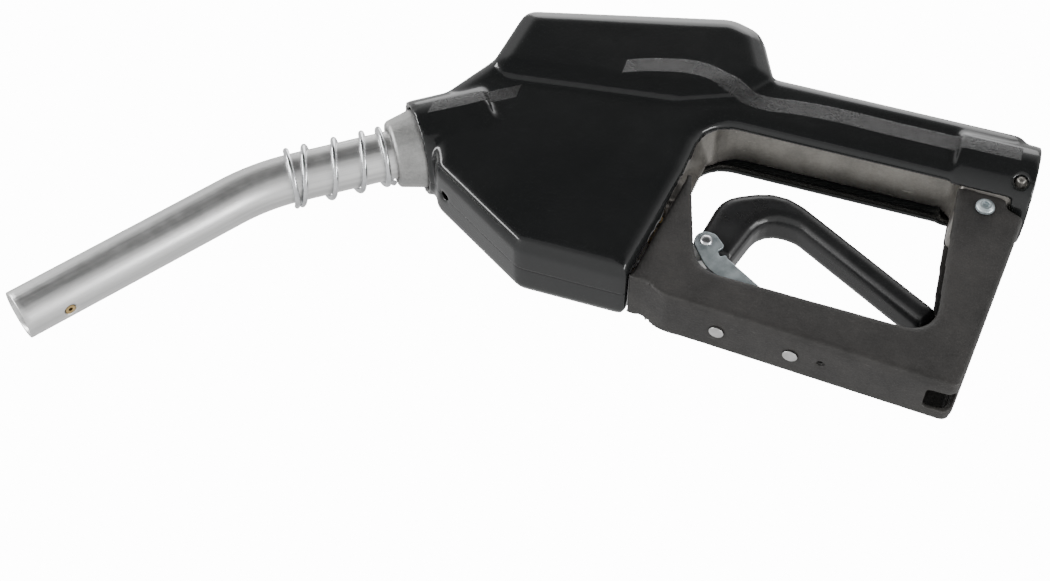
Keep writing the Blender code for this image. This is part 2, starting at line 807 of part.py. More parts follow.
def spout():
    start = -SPOUT_INSERTED
    outside = wire("spout_tube", along_spout(start, SPOUT_LENGTH, 14 * MM), SPOUT_R, 5)
    inner_r = SPOUT_R - SPOUT_WALL
    inside = wire(
        "spout_bore", along_spout(start - 3 * MM, SPOUT_LENGTH + 3 * MM, 14 * MM), inner_r, 5
    )
    port_place, port_heading = spout_place(SPOUT_LENGTH - PORT_FROM_TIP)
    port_down = port_heading.cross(Vector((0, 1, 0)))
    port = rod("port_hole", 2.4 * MM, 5 * MM, 14 * MM, place=port_place, direction=port_down, steps=13)
    paint(cut(outside, inside, port), *ALUMINIUM)

    fitting = rod("vent_fitting", 2.1 * MM, 3.3 * MM, 9.6 * MM, place=port_place, direction=port_down)
    bore = rod("fitting_bore", 0.9 * MM, 5 * MM, 14 * MM, place=port_place, direction=port_down, steps=10)
    paint(cut(fitting, bore), *BRASS)
    vent_end = SPOUT_LENGTH - PORT_FROM_TIP - 2.5 * MM
    vent = wire("vent_tube", along_spout(-5 * MM, vent_end, 16 * MM, 5.2 * MM), 2 * MM, 2)
    paint(vent, *ALUMINIUM)

    bushing = turned(
        "spout_bushing",
        [
            (SPOUT_R + GAP, BUSHING_LENGTH),
            (13.6 * MM, BUSHING_LENGTH),
            (14.5 * MM, BUSHING_LENGTH - 1 * MM),
            (16.9 * MM, 0.3 * MM),
            (16.9 * MM, -1.5 * MM),
            (13.5 * MM, -1.6 * MM),
            (13.5 * MM, -6 * MM),
            (12.6 * MM, -6.5 * MM),
            (12.6 * MM, -9.5 * MM),
            (13.5 * MM, -10 * MM),
            (13.5 * MM, -14 * MM),
            (12.2 * MM, -14.1 * MM),
            (12.2 * MM, -16.6 * MM),
            (13.5 * MM, -16.7 * MM),
            (13.5 * MM, -26 * MM),
            (9 * MM, -26 * MM),
            (9 * MM, -7.3 * MM),
            (SPOUT_R + GAP, -7.3 * MM),
        ],
        **on_nose(steps=24),
    )
    paint(bushing, *CAST)
    paint(ring("spout_seal", 13.5 * MM, 12.4 * MM, -16.4 * MM, -14.3 * MM, **on_nose()), *RUBBER)
    profile = [
        (0, 21 * MM),
        (1.6 * MM, 21 * MM),
        (3.6 * MM, 20.2 * MM),
        (3.6 * MM, 18.4 * MM),
        (2.5 * MM, 18.3 * MM),
        (2.5 * MM, 13.9 * MM),
        (0, 13.9 * MM),
    ]
    screw = turned("spout_screw", profile, **nose_screw_place(), steps=16)
    slot_place = nose_screw_place()
    recess = rod("screw_recess", 1.3 * MM, 20 * MM, 24 * MM, **slot_place, steps=6)
    paint(cut(screw, recess), *STEEL)
    check_valve()
    anchor_spring()


def check_valve():
    paint(
        ring("check_valve_seat", 13.2 * MM, 7.9 * MM, -29.4 * MM, -26.3 * MM, **on_nose()),
        *BRASS,
    )
    profile = [
        (0, -10 * MM),
        (1.5 * MM, -10 * MM),
        (1.5 * MM, -22.4 * MM),
        (8.4 * MM, -22.6 * MM),
        (8.4 * MM, -25.6 * MM),
        (6.2 * MM, -28 * MM),
        (0, -28 * MM),
    ]
    paint(turned("check_valve_poppet", profile, **on_nose(steps=16)), *BRASS)
    guide = ring("check_valve_guide", 8.7 * MM, 7.4 * MM, -10.6 * MM, -7.6 * MM, **on_nose(steps=20))
    hub = ring("guide_hub", 3.2 * MM, 1.9 * MM, -12.4 * MM, -7.6 * MM, **on_nose(steps=12))
    paint(join(guide, hub, *[guide_arm(i) for i in range(3)]), *BRASS)
    points = []
    per_turn = 10
    heights = coil_heights(4, 0.75, 0.35 * MM, 8.6 * MM, per_turn)
    frame = Matrix.Translation(NOSE) @ OUTWARD.to_track_quat("Z", "Y").to_matrix().to_4x4()
    for i, height in enumerate(heights):
        angle = 2 * pi * i / per_turn
        centre_r = 2.6 * MM
        points.append(
            frame
            @ Vector((centre_r * cos(angle), centre_r * sin(angle), height - 21.9 * MM))
        )
    paint(wire("check_valve_spring", points, 0.35 * MM), *STEEL)


def guide_arm(index):
    frame = Matrix.Translation(NOSE) @ OUTWARD.to_track_quat("Z", "Y").to_matrix().to_4x4()
    turn = Matrix.Rotation(pi / 2 + index * 2 * pi / 3, 4, "Z")
    arm = block(f"guide_arm_{index}", (2.4 * MM, -0.8 * MM, -10 * MM), (8 * MM, 0.8 * MM, -8 * MM))
    arm.data.transform(frame @ turn)
    return arm


def anchor_spring():
    """The wire round the spout: two close turns at its outer end, then open turns."""
    wire_r, coil_r, per_turn = 1.2 * MM, 11.85 * MM, 14
    pitches = [2.7 * MM] * 1 + [11.5 * MM, 12.5 * MM, 13 * MM] + [2.7 * MM] * 1
    distance, points = 13 * MM, []
    total = len(pitches) * per_turn
    for i in range(total + 1):
        centre, heading = spout_place(distance)
        side = heading.cross(Vector((0, 1, 0)))
        angle = 2 * pi * i / per_turn + 0.6
        points.append(centre + (side * cos(angle) + Vector((0, 1, 0)) * sin(angle)) * coil_r)
        distance += pitches[min(i // per_turn, len(pitches) - 1)] / per_turn
    return paint(wire("anchor_spring", points, wire_r), *STEEL)


# ---------------------------------------------------------------- guard


def guard_floor(x):
    """The outside of the guard's bottom wall, at a place along the handle."""
    return GUARD_FRONT_BOTTOM_Z - GUARD_SLOPE * (x + 144.2 * MM)


def lever_guard():
    guard = plate("lever_guard", rounded(GUARD_OUTER), GUARD_HALF_WIDTH, 2.2 * MM)
    wall = GUARD_WALL / MM
    channel = [
        (-160, -98, 0),
        (-139, -98, 0),
        (-128, guard_floor(-128 * MM) / MM + wall, 3),
        (-12.5 - wall, -113.3 + wall, 3),
        (-4 - wall, -33, 2),
        (-4 - wall, -5, 0),
        (-60, -5, 0),
        (-60, -60, 0),
        (-100, -60, 0),
        (-160, -20, 0),
    ]
    cut(
        guard,
        plate("guard_channel", rounded(channel), CHANNEL_HALF_WIDTH),
        rod("drain_hole", 1.6 * MM, -30 * MM, 30 * MM, place=(-65 * MM, 0, guard_floor(-65 * MM)), steps=12),
        rod("screw_clearance", 2.5 * MM, -THROUGH, THROUGH, **across(GUARD_SCREW)),
        block("rear_recess", (-24 * MM, -6 * MM, -130 * MM), (-13 * MM, 6 * MM, -100 * MM)),
    )
    for index, x in enumerate(RIVET_X):
        place = (x, 0, guard_floor(x))
        cut(guard, rod(f"rivet_hole_{index}", 2.3 * MM, -9 * MM, 9 * MM, place=place, steps=12))
    paint(guard, *GUARD_PLASTIC)


def guard_fasteners():
    half = GUARD_HALF_WIDTH
    profile = [
        (0, half + 2.6 * MM),
        (2.4 * MM, half + 2.5 * MM),
        (3.7 * MM, half + 1.6 * MM),
        (4.15 * MM, half + 0.3 * MM),
        (2 * MM, half + 0.3 * MM),
        (2 * MM, -half + 1 * MM),
        (0, -half + 1 * MM),
    ]
    screw = turned("guard_screw", profile, **across(GUARD_SCREW), steps=20)
    recess = rod("drive", 1.7 * MM, half + 1 * MM, half + 6 * MM, **across(GUARD_SCREW), steps=6)
    paint(cut(screw, recess), *ZINC)
    tilt = Vector((GUARD_SLOPE, 0, 1)).normalized()
    for name, x in zip(("rack_rivet_front", "rack_rivet_rear"), RIVET_X):
        profile = [
            (0, 5.4 * MM),
            (2.4 * MM, 5.4 * MM),
            (3.2 * MM, 4.6 * MM),
            (3.2 * MM, 4.4 * MM),
            (2 * MM, 4.3 * MM),
            (2 * MM, -0.3 * MM),
            (3.15 * MM, -0.35 * MM),
            (3 * MM, -0.8 * MM),
            (0, -0.9 * MM),
        ]
        place = (x, 0, guard_floor(x))
        paint(turned(name, profile, place=place, direction=tilt, steps=14), *ALUMINIUM)


TEETH = [
    (-96, 0.4, 0),
    (-84, 0.4, 0),
    (-84, 8, 0.5),
    (-86, 8, 0.5),
    (-87.2, 4.8, 0.3),
    (-90, 6, 0.5),
    (-91.2, 2.8, 0.3),
    (-94, 4, 0.5),
]


def hold_open_rack():
    """A steel strip on the guard's floor, with three teeth that face the lever's latch."""
    wall = GUARD_WALL / MM + 0.3
    corners = [(-113, 0, 0.5), (-70.5, 0, 0.5), (-70.5, 1.4, 0.5), (-113, 1.4, 0.5)]
    outline = []
    for x, height, radius in corners:
        outline.append((x, guard_floor(x * MM) / MM + wall + height, radius))
    rack = plate("hold_open_rack", rounded(outline), 6 * MM)
    rise = []
    for x, height, radius in TEETH:
        rise.append((x, guard_floor(x * MM) / MM + wall + height, radius))
    tooth_plate = plate("teeth", rounded(rise), 0.9 * MM, y=4.6 * MM)
    join(rack, tooth_plate)
    for index, x in enumerate(RIVET_X):
        place = (x, 0, guard_floor(x))
        cut(rack, rod(f"rack_hole_{index}", 2.3 * MM, -9 * MM, 9 * MM, place=place, steps=12))
    paint(rack, *ZINC)


# ---------------------------------------------------------------- lever and latch

GRIP = [
    (-125, -67, 2),
    (-121, -76, 2),
    (-109.5, -76, 2),
    (-101.5, -49.6, 11),
    (-87.5, -51.2, 10),
    (-31.5, -83.6, 3),
    (-25.2, -75.2, 3),
    (-97.5, -33.2, 22),
    (-121, -45, 14),
]
CORE_LINE = [(-187, -86, 0), (-168, -80, 12), (-135, -80, 12), (-117.5, -70, 6), (-113, -47, 0)]


def lever():
    grip = pillow("lever_grip", GRIP, GRIP_HALF_WIDTH, 4.6 * MM, steps=3)
    pocket = plate("core_pocket", strip(CORE_LINE, 4.6 * MM + GAP), CORE_HALF_WIDTH + GAP)
    core = plate("lever_core", strip(CORE_LINE, 4.6 * MM), CORE_HALF_WIDTH)
    eye = rod("eye", 5.6 * MM, -CORE_HALF_WIDTH, CORE_HALF_WIDTH, **across(PIVOT), steps=20)
    join(core, eye)
    cut(core, rod("eye_hole", 2.3 * MM, -9 * MM, 9 * MM, **across(PIVOT), steps=14))
    rivet_hole = dict(across(LATCH_PIVOT), steps=14)
    cut(core, rod("core_rivet_hole", 2.2 * MM, -12 * MM, 12 * MM, **rivet_hole))
    cut(grip, pocket, rod("grip_rivet_hole", 2.2 * MM, -12 * MM, 12 * MM, **rivet_hole))
    paint(core, *ALUMINIUM)
    paint(grip, *LEVER_PLASTIC)
    pin = rod("lever_pivot_pin", 2 * MM, -8.2 * MM, 8.2 * MM, **across(PIVOT), steps=14)
    paint(pin, *STEEL)


LATCH_OUTLINE = [
    (-113.2, -72.5, 1.2),
    (-115.4, -75.4, 1),
    (-113.8, -78.0, 0.6),
    (-111.6, -76.6, 0.6),
    (-110.6, -78.0, 0.5),
    (-89.4, -91.2, 0.8),
    (-91.2, -92.6, 0.8),
    (-106, -90.0, 14),
    (-117.5, -85.0, 14),
    (-126.2, -73.5, 3),
    (-124.6, -69, 4),
    (-119, -66.5, 4),
]


def hold_open_latch():
    thickness, middle = 0.7 * MM, -9 * MM
    latch = plate("hold_open_latch", rounded(LATCH_OUTLINE[::-1]), thickness, y=middle)
    boss = rod("boss", 4.8 * MM, 8.3 * MM, 9.7 * MM, **across(LATCH_PIVOT), steps=24)
    join(latch, boss)
    cut(latch, rod("latch_hole", 2.2 * MM, 2 * MM, 20 * MM, **across(LATCH_PIVOT), steps=14))
    paint(latch, *ZINC)
    profile = [
        (0, 11.4 * MM),
        (1.2 * MM, 11.3 * MM),
        (2.2 * MM, 10.9 * MM),
        (2.8 * MM, 10.2 * MM),
        (2.8 * MM, 9.98 * MM),
        (1.9 * MM, 9.97 * MM),
        (1.9 * MM, -9.7 * MM),
        (0, -9.7 * MM),
    ]
    paint(turned("latch_rivet", profile, **across(LATCH_PIVOT), steps=16), *STEEL)
    points = []
    for i in range(16):
        angle = 2 * pi * i / 12
        y = 8.45 * MM + 0.072 * MM * i
        points.append(LATCH_PIVOT + Vector((2.9 * MM * cos(angle), y, 2.9 * MM * sin(angle))))
    paint(wire("latch_spring", points, 0.4 * MM), *STEEL)


# ---------------------------------------------------------------- moving groups


def pivot_empty(name, place, nodes):
    """An empty on a joint's axis that carries the nodes of one moving group."""
    empty = bpy.data.objects.new(name, None)
    empty.location = place
    empty.empty_display_size = 0.01
    link(empty)
    bpy.context.view_layer.update()
    for node in nodes:
        child = bpy.data.objects[node]
        world = child.matrix_world.copy()
        child.parent = empty
        child.matrix_parent_inverse = empty.matrix_world.inverted()
        child.matrix_world = world
    return empty


def group_moving_pieces():
    pivot_empty("latch_swing", LATCH_PIVOT, ["hold_open_latch"])
    grip = ["lever_core", "lever_grip", "latch_rivet", "latch_spring"]
    pivot_empty("lever_squeeze", PIVOT, grip)
    balls = [f"latch_ball_{i}" for i in (1, 2, 3)]
    pivot_empty("plunger_trip", (PLUNGER_X, 0, 0), ["plunger", "lever_pivot_pin", *balls])
    pivot_empty("vacuum_lift", (PLUNGER_X, 0, DIAPHRAGM_Z), ["latch_pin"])
    pivot_empty("main_valve_lift", (VALVE_X, 0, SEAT_Z), ["main_valve_poppet", "main_valve_disc"])
    pivot_empty("check_valve_lift", NOSE, ["check_valve_poppet"])


def main():
    clear_scene()
    body_casting()
    hand_insulator()
    inlet_strainer()
    main_valve()
    shut_off()
    spout()
    lever_guard()
    guard_fasteners()
    hold_open_rack()
    lever()
    hold_open_latch()
    group_moving_pieces()


main()
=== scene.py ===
"""An automatic shut-off fuel nozzle in a plain pale studio, in metres.

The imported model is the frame. Its large outer parts are replaced by finer pieces of the same
size, and every piece and every CAD node that shows gets a procedural material.
"""

import json
from math import cos, pi, radians, sin

import bmesh
import bpy
from mathutils import Matrix, Vector


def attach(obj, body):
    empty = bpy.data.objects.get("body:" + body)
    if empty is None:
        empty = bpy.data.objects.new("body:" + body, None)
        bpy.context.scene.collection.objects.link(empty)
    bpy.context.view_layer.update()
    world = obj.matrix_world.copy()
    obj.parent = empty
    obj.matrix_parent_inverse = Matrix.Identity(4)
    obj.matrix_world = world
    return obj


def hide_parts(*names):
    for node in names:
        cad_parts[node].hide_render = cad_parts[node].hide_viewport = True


MM = 0.001
Y_AXIS = Vector((0, 1, 0))

# Spout axis: from NOSE, NOSE_TILT below the handle's axis, bent once
NOSE = Vector((-251.5 * MM, 0, -54.5 * MM))
NOSE_TILT = radians(35.5)
SPOUT_R = 10.3 * MM
SPOUT_WALL = 1.6 * MM
SPOUT_STRAIGHT = 53 * MM
SPOUT_BEND = radians(19)
SPOUT_BEND_R = 88 * MM
SPOUT_TIP_STRAIGHT = 97 * MM
SPOUT_INSERTED = 7 * MM
SPOUT_LENGTH = SPOUT_STRAIGHT + SPOUT_BEND_R * SPOUT_BEND + SPOUT_TIP_STRAIGHT
SPOUT_STATIONS = 91
SPOUT_SIDES = 72
TIP_ROUND = 0.35 * MM
PORT_FROM_TIP = 18 * MM
PORT_R = 2.4 * MM
PORT_SIDES = 32
COUNTERSINK = 1.2 * MM

# Anchor spring
SPRING_START = 13 * MM
SPRING_PITCHES = (2.7 * MM, 11.5 * MM, 12.5 * MM, 13 * MM, 2.7 * MM)
SPRING_R = 11.85 * MM
SPRING_WIRE_R = 1.2 * MM
SPRING_STEPS_PER_TURN = 48
SPRING_WIRE_SIDES = 14
SPRING_START_ANGLE = 0.6

# Hose inlet
INLET_BORE_R = 12.2 * MM
THREAD_PITCH = 1.8 * MM
THREAD_DEPTH = 0.9 * MM
THREAD_START = -3 * MM
THREAD_TURNS = 9
THREAD_STEPS_PER_TURN = 60
THREAD_FADE_STEPS = 20
THREAD_ROOT_OVERLAP = 0.2 * MM

# Grained stripe on the insulator: its centre line (x, z) in millimetres, and the two stretches in
# x where it is grained
STRIPE_LINE = [
    (-252, -50),
    (-236, -39.5),
    (-216, -25),
    (-177, -1.5),
    (-160, 5),
    (-145, 7.5),
    (-131, 4.2),
    (-116, 0.6),
    (-101, 2.2),
    (-87, 3.2),
    (-60, 3),
    (-5, 3.2),
]
STRIPE_HALF_WIDTH = 4 * MM
STRIPE_SPANS = ((-247 * MM, -215.5 * MM), (-176 * MM, -8 * MM))

# Studio: how bright the room looks behind the object, the way to its dark side, and the point
# that the lights face
BACKDROP = 14.0
DARK_SIDE = Vector((-0.05, -0.97, 0.12))
AIM = (-0.17, 0, -0.07)
FLOOR_HALF_SIZE = 3.0
FLOOR_Z = -0.62
SOFTBOXES = [
    ("top_light", (-0.3, -0.1, 0.9), 0.9, 0.7, 5),
    ("left_light", (-1.0, -0.42, -0.25), 0.16, 1.0, 9),
    ("right_light", (0.85, -0.42, -0.3), 0.16, 1.0, 9),
]

# Camera
CAMERA_PLACE = (-0.0612, -0.5501, -0.4914)
CAMERA_RIGHT = Vector((0.9511, 0, 0.3090))
CAMERA_UP = Vector((-0.2500, -0.5878, 0.7694))
CAMERA_LENS = 58.29
CAMERA_SENSOR = 36

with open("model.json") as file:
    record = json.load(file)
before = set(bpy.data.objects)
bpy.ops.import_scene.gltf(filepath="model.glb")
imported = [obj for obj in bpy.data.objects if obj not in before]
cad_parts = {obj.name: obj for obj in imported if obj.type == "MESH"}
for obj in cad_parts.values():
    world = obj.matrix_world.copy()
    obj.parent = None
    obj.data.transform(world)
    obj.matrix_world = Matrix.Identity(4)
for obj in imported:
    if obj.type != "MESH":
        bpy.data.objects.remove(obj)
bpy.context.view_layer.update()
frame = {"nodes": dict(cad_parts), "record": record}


# ---------------------------------------------------------------- node helpers


class Shader:
    """A material and short calls that add nodes to it."""

    def __init__(self, name):
        self.material = bpy.data.materials.new(name)
        self.material.use_nodes = True
        self.tree = self.material.node_tree
        self.surface = self.tree.nodes["Principled BSDF"]
        self.place = self.add("ShaderNodeTexCoord").outputs["Object"]

    def add(self, kind, inputs=None, **settings):
        node = self.tree.nodes.new(kind)
        for key, value in settings.items():
            setattr(node, key, value)
        for key, value in (inputs or {}).items():
            self.put(node.inputs[key], value)
        return node

    def put(self, socket, value):
        if isinstance(value, bpy.types.NodeSocket):
            self.tree.links.new(value, socket)
        else:
            socket.default_value = value

    def set(self, **values):
        for key, value in values.items():
            if key.endswith("Color") and not isinstance(value, bpy.types.NodeSocket):
                value = (*value, 1)
            self.put(self.surface.inputs[key.replace("_", " ")], value)

    def math(self, operation, first, second=0.0):
        inputs = {0: first, 1: second}
        return self.add("ShaderNodeMath", inputs, operation=operation).outputs[0]

    def total(self, *values):
        result = values[0]
        for value in values[1:]:
            result = self.math("ADD", result, value)
        return result

    def stretched(self, scale, where=None):
        """Coordinates scaled differently along each axis."""
        inputs = {"Vector": where or self.place, "Scale": scale}
        return self.add("ShaderNodeMapping", inputs).outputs["Vector"]

    def noise(self, scale, detail=3.0, rough=0.55, where=None, distortion=0.0):
        inputs = {
            "Vector": where or self.place,
            "Scale": scale,
            "Detail": detail,
            "Roughness": rough,
            "Distortion": distortion,
        }
        return self.add("ShaderNodeTexNoise", inputs).outputs[0]

    def cells(self, scale):
        inputs = {"Vector": self.place, "Scale": scale}
        return self.add("ShaderNodeTexVoronoi", inputs, feature="F1").outputs["Distance"]

    def ramp(self, value, low, high, start=0.0, end=1.0):
        inputs = {"Value": value, 1: low, 2: high, 3: start, 4: end}
        return self.add("ShaderNodeMapRange", inputs, interpolation_type="SMOOTHSTEP").outputs[0]

    def mix(self, factor, first, second):
        node = self.add("ShaderNodeMix", data_type="RGBA")
        self.put(node.inputs[0], factor)
        for socket, value in ((node.inputs[6], first), (node.inputs[7], second)):
            colour = value if isinstance(value, bpy.types.NodeSocket) else (*value, 1)
            self.put(socket, colour)
        return node.outputs[2]

    def axis(self, name, vector=None):
        node = self.add("ShaderNodeSeparateXYZ", {0: vector or self.place})
        return node.outputs[name]

    def bump(self, height, distance, strength=1.0, normal=None):
        inputs = {"Height": height, "Distance": distance, "Strength": strength}
        if normal:
            inputs["Normal"] = normal
        return self.add("ShaderNodeBump", inputs).outputs[0]

    def edges(self, low=0.505, high=0.56):
        """White on outside edges."""
        return self.ramp(self.add("ShaderNodeNewGeometry").outputs["Pointiness"], low, high)

    def between(self, value, low, high, soft):
        rise = self.ramp(value, low - soft, low + soft)
        fall = self.ramp(value, high - soft, high + soft, 1.0, 0.0)
        return self.math("MULTIPLY", rise, fall)


# ---------------------------------------------------------------- materials


def stripe_mask(shader):
    """White on the two stretches of the grained stripe, on both cheeks."""
    x, z = shader.axis("X"), shader.axis("Z")
    low, high = STRIPE_LINE[0][0] * MM, STRIPE_LINE[-1][0] * MM
    floor, ceiling = -60 * MM, 20 * MM
    along = shader.add("ShaderNodeMapRange", {"Value": x, 1: low, 2: high}).outputs[0]
    curve = shader.add("ShaderNodeFloatCurve", {"Value": along})
    points = curve.mapping.curves[0].points
    for index, (px, pz) in enumerate(STRIPE_LINE):
        place = (px * MM - low) / (high - low), (pz * MM - floor) / (ceiling - floor)
        if 0 < index < len(STRIPE_LINE) - 1:
            points.new(*place)
        else:
            points[0 if index == 0 else -1].location = place
    curve.mapping.update()
    inputs = {"Value": curve.outputs[0], 3: floor, 4: ceiling}
    centre = shader.add("ShaderNodeMapRange", inputs).outputs[0]
    off = shader.math("ABSOLUTE", shader.math("SUBTRACT", z, centre))
    mask = shader.ramp(off, STRIPE_HALF_WIDTH - 0.25 * MM, STRIPE_HALF_WIDTH, 1.0, 0.0)
    spans = [shader.between(x, start, end, 0.15 * MM) for start, end in STRIPE_SPANS]
    mask = shader.math("MULTIPLY", mask, shader.total(*spans))
    normal = shader.add("ShaderNodeNewGeometry").outputs["Normal"]
    facing = shader.math("ABSOLUTE", shader.axis("Y", normal))
    return shader.math("MULTIPLY", mask, shader.ramp(facing, 0.25, 0.4))


def seam_mask(shader):
    """White along the moulding seam, on the middle of the insulator's underside."""
    y = shader.math("ABSOLUTE", shader.axis("Y"))
    line = shader.ramp(y, 0.15 * MM, 0.45 * MM, 1.0, 0.0)
    normal = shader.add("ShaderNodeNewGeometry").outputs["Normal"]
    below = shader.ramp(shader.axis("Z", normal), -0.35, -0.25, 1.0, 0.0)
    ahead = shader.ramp(shader.axis("X"), -141 * MM, -139 * MM, 1.0, 0.0)
    broken = shader.ramp(shader.noise(180, 2), 0.3, 0.4)
    mask = shader.math("MULTIPLY", line, below)
    return shader.math("MULTIPLY", mask, shader.math("MULTIPLY", ahead, broken))


def vinyl():
    s = Shader("vinyl")
    stripe = stripe_mask(s)
    seam = seam_mask(s)
    cloudy = s.noise(24, 4, 0.6)
    grain = s.ramp(s.noise(1250, 2, 0.8), 0.36, 0.64)
    scuffs = s.ramp(s.noise(70, 6, 0.75, distortion=1.2), 0.56, 0.74)
    colour = s.mix(cloudy, (0.0068, 0.0076, 0.0078), (0.0125, 0.0132, 0.0132))
    colour = s.mix(s.math("MULTIPLY", stripe, grain), colour, (0.011, 0.011, 0.0105))
    colour = s.mix(seam, colour, (0.001, 0.001, 0.001))
    rough = s.total(s.ramp(cloudy, 0.3, 0.7, 0.12, 0.18), s.math("MULTIPLY", scuffs, 0.06))
    rough = s.math("ADD", rough, s.math("MULTIPLY", stripe, 0.12))
    wavy = s.bump(s.noise(26, 2, 0.4), 0.9 * MM, 0.35)
    peel = s.bump(s.noise(520, 2, 0.5), 0.03 * MM, 0.35, wavy)
    raised = s.bump(stripe, 0.25 * MM, 1.0, peel)
    grained = s.bump(s.math("MULTIPLY", stripe, grain), 0.35 * MM, 1.0, raised)
    cut = s.bump(s.math("SUBTRACT", 1.0, seam), 0.5 * MM, 1.0, grained)
    s.set(Base_Color=colour, Roughness=rough, Normal=cut, Specular_IOR_Level=0.5)
    return s.material


def guard_plastic():
    s = Shader("guard_plastic")
    mottled = s.noise(60, 5, 0.65)
    grain = s.noise(1300, 3, 0.7)
    pits = s.cells(900)
    scratch = s.noise(1.0, 4, 0.6, s.stretched((90, 500, 1400)))
    scratches = s.ramp(scratch, 0.66, 0.74)
    colour = s.mix(s.ramp(mottled, 0.3, 0.7), (0.021, 0.020, 0.019), (0.036, 0.034, 0.032))
    # Painted highlight: the outside edges are lighter, patchy with noise, standing in for light
    # catching the rounded edges
    painted_edge_highlight = s.math("MULTIPLY", s.edges(0.51, 0.58), s.ramp(s.noise(240, 4), 0.35, 0.65, 0.25, 1.0))
    colour = s.mix(s.math("MULTIPLY", painted_edge_highlight, 0.5), colour, (0.085, 0.081, 0.076))
    colour = s.mix(s.math("MULTIPLY", scratches, 0.3), colour, (0.1, 0.096, 0.09))
    rough = s.total(s.ramp(grain, 0.3, 0.7, 0.44, 0.6), s.math("MULTIPLY", scratches, -0.06))
    fine = s.bump(grain, 0.16 * MM, 0.8)
    normal = s.bump(pits, 0.12 * MM, 0.5, fine)
    s.set(Base_Color=colour, Roughness=rough, Normal=normal, Specular_IOR_Level=0.45)
    return s.material


def lever_plastic():
    s = Shader("lever_plastic")
    flow = s.noise(1.0, 4, 0.6, s.stretched((40, 120, 60)))
    fine = s.noise(900, 3, 0.6)
    colour = s.mix(flow, (0.007, 0.0072, 0.0075), (0.014, 0.014, 0.0145))
    # Painted highlight: every outside edge is a little lighter, standing in for light catching the
    # lever's rounded edges
    painted_edge_highlight = s.math("MULTIPLY", s.edges(0.515, 0.6), 0.35)
    colour = s.mix(painted_edge_highlight, colour, (0.05, 0.05, 0.05))
    rough = s.ramp(flow, 0.3, 0.7, 0.26, 0.36)
    normal = s.bump(fine, 0.04 * MM, 0.5, s.bump(flow, 0.25 * MM, 0.35))
    s.set(Base_Color=colour, Roughness=rough, Normal=normal)
    return s.material


def rubber():
    s = Shader("rubber")
    fine = s.noise(1200, 3)
    colour = s.mix(s.noise(150), (0.008, 0.008, 0.008), (0.02, 0.019, 0.018))
    rough = s.ramp(fine, 0.3, 0.7, 0.6, 0.78)
    s.set(Base_Color=colour, Roughness=rough, Normal=s.bump(fine, 0.05 * MM, 0.6))
    return s.material


def cast_metal(name, dark, light, rough):
    """Satin cast metal with a sandy skin, light scuffs and a few short bright scratches."""
    s = Shader(name)
    sandy = s.noise(1100, 4, 0.7)
    cloudy = s.noise(45, 5, 0.6)
    scratch = s.noise(1.0, 3, 0.5, s.stretched((60, 300, 900)))
    bright = s.ramp(scratch, 0.69, 0.75)
    mix = s.math("ADD", s.math("MULTIPLY", cloudy, 0.7), s.math("MULTIPLY", sandy, 0.3))
    colour = s.mix(s.ramp(mix, 0.35, 0.65), dark, light)
    colour = s.mix(s.math("MULTIPLY", bright, 0.5), colour, (0.7, 0.68, 0.64))
    roughness = s.ramp(cloudy, 0.3, 0.7, rough, rough + 0.14)
    roughness = s.math("SUBTRACT", roughness, s.math("MULTIPLY", bright, 0.1))
    normal = s.bump(sandy, 0.1 * MM, 0.6, s.bump(cloudy, 0.4 * MM, 0.25))
    s.set(Base_Color=colour, Metallic=0.85, Roughness=roughness, Normal=normal)
    return s.material


def drawn_metal(name, dark, light, rough):
    """Drawn aluminium: fine lines along the piece's own length."""
    s = Shader(name)
    flat = s.add("ShaderNodeUVMap", uv_map="flow").outputs[0]
    lines = s.noise(1.0, 5, 0.65, s.stretched((420, 14, 1), flat))
    bands = s.noise(1.0, 3, 0.5, s.stretched((24, 5, 1), flat))
    spots = s.noise(160, 5, 0.7)
    nicks = s.ramp(s.noise(1.0, 2, 0.5, s.stretched((120, 900, 1), flat)), 0.72, 0.78)
    colour = s.mix(s.ramp(bands, 0.35, 0.65), dark, light)
    colour = s.mix(s.math("MULTIPLY", s.ramp(lines, 0.35, 0.7), 0.35), colour, (0.86, 0.86, 0.85))
    colour = s.mix(s.math("MULTIPLY", nicks, 0.4), colour, (0.32, 0.32, 0.32))
    roughness = s.ramp(lines, 0.3, 0.7, rough, rough + 0.14)
    roughness = s.math("ADD", roughness, s.ramp(spots, 0.4, 0.7, 0.0, 0.06))
    normal = s.bump(lines, 0.03 * MM, 0.6, s.bump(spots, 0.03 * MM, 0.4))
    s.set(Base_Color=colour, Metallic=1.0, Roughness=roughness, Normal=normal)
    return s.material


def plain_metal(name, dark, light, rough, metallic=1.0, scale=220):
    """Machined or plated metal with cloudy plating and fine marks."""
    s = Shader(name)
    cloudy = s.noise(scale, 5, 0.65)
    fine = s.noise(2400, 2, 0.6)
    colour = s.mix(s.ramp(cloudy, 0.3, 0.7), dark, light)
    roughness = s.ramp(cloudy, 0.3, 0.7, rough, rough + 0.12)
    roughness = s.math("ADD", roughness, s.ramp(fine, 0.4, 0.6, 0.0, 0.04))
    normal = s.bump(fine, 0.015 * MM, 0.5)
    s.set(Base_Color=colour, Metallic=metallic, Roughness=roughness, Normal=normal)
    return s.material


